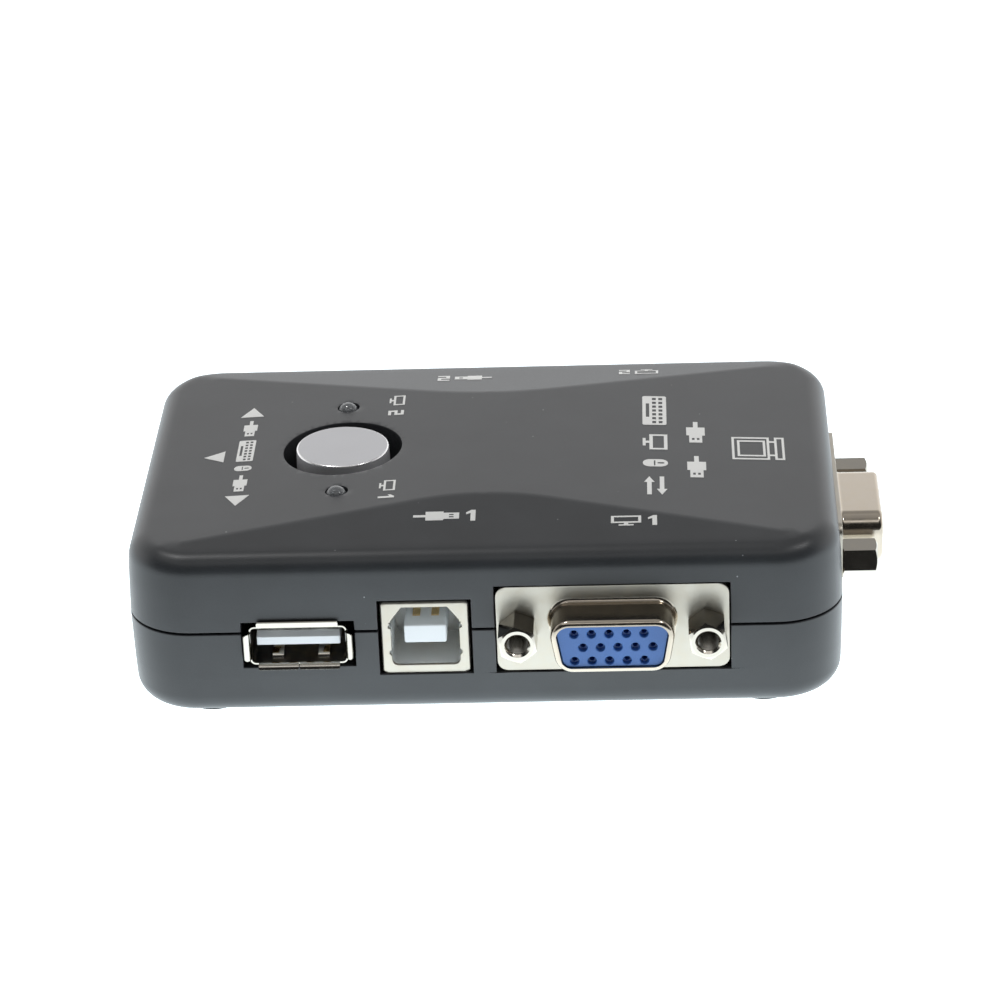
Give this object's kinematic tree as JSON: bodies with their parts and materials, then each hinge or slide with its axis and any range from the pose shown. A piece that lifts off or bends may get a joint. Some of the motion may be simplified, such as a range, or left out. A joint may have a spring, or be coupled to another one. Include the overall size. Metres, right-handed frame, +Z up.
{
  "type": "kvm switch",
  "caption": "Small moulded desktop box that shares one keyboard, mouse and monitor between two computers, with a push button on top.",
  "frame": {"origin": "on the table, under the middle of the whole object's bounding box; the centre of the case is 2.625 mm to the left of it", "axes": "+X towards the monitor socket at the right end, -Y towards the first computer's sockets, +Z up"},
  "size_m": [0.1028, 0.0732, 0.0269],
  "materials": {
    "case_plastic": "fine matt moulded plastic, dark bluish grey",
    "foot_rubber": "matt black rubber",
    "screw_steel": "zinc plated",
    "board_laminate": "green solder mask",
    "button_plastic": "satin silver-grey moulded plastic",
    "switch_plastic": "black moulded plastic",
    "plunger_plastic": "natural white plastic",
    "spring_steel": "bright spring wire",
    "plated_steel": "nickel plated stamped steel",
    "standoff_steel": "nickel plated turned steel",
    "blue_plastic": "blue moulded insulator",
    "contact_gold": "gold plated",
    "white_plastic": "white moulded insulator",
    "clear_lens": "water clear epoxy",
    "tinned_wire": "tinned copper",
    "chip_epoxy": "black moulding compound",
    "crystal_can": "pressed metal can",
    "capacitor_can": "bare aluminium can",
    "ceramic_chip": "ceramic",
    "resistor_chip": "ceramic with a dark overcoat"
  },
  "bodies": {
    "console": {"top_shell": "case_plastic", "bottom_shell": "case_plastic", "rubber_feet": "foot_rubber", "case_screws": "screw_steel", "circuit_board": "board_laminate", "switch_housing": "switch_plastic", "switch_spring": "spring_steel", "switch_pins": "tinned_wire", "light_1_lens": "clear_lens", "light_2_lens": "clear_lens", "light_leads": "tinned_wire", "vga_front_collar": "plated_steel", "vga_front_insert": "blue_plastic", "vga_front_contacts": "contact_gold", "vga_front_bracket": "plated_steel", "vga_front_standoffs": "standoff_steel", "vga_back_collar": "plated_steel", "vga_back_insert": "blue_plastic", "vga_back_contacts": "contact_gold", "vga_back_bracket": "plated_steel", "vga_back_standoffs": "standoff_steel", "vga_end_collar": "plated_steel", "vga_end_insert": "blue_plastic", "vga_end_contacts": "contact_gold", "vga_end_bracket": "plated_steel", "vga_end_standoffs": "standoff_steel", "usb_b_front_shield": "plated_steel", "usb_b_front_insert": "white_plastic", "usb_b_front_contacts": "contact_gold", "usb_b_back_shield": "plated_steel", "usb_b_back_insert": "white_plastic", "usb_b_back_contacts": "contact_gold", "usb_a_front_shield": "plated_steel", "usb_a_front_tongue": "white_plastic", "usb_a_front_contacts": "contact_gold", "usb_a_back_shield": "plated_steel", "usb_a_back_tongue": "white_plastic", "usb_a_back_contacts": "contact_gold", "usb_a_end_shield": "plated_steel", "usb_a_end_tongue": "white_plastic", "usb_a_end_contacts": "contact_gold", "video_switch_chip": "chip_epoxy", "usb_switch_chip": "chip_epoxy", "chip_legs": "tinned_wire", "crystal": "crystal_can", "electrolytic_capacitors": "capacitor_can", "voltage_regulator": "chip_epoxy", "chip_capacitors": "ceramic_chip", "chip_resistors": "resistor_chip"},
    "button": {"button_cap": "button_plastic", "switch_plunger": "plunger_plastic"}
  },
  "joints": [
    {"name": "button_press", "type": "slide", "parent": "console", "child": "button", "axis": [0, 0, -1], "range_m": [0, 0.0012], "stiffness_N_per_m": 300, "springref_m": -0.0003, "deforming": ["switch_spring"]}
  ]
}
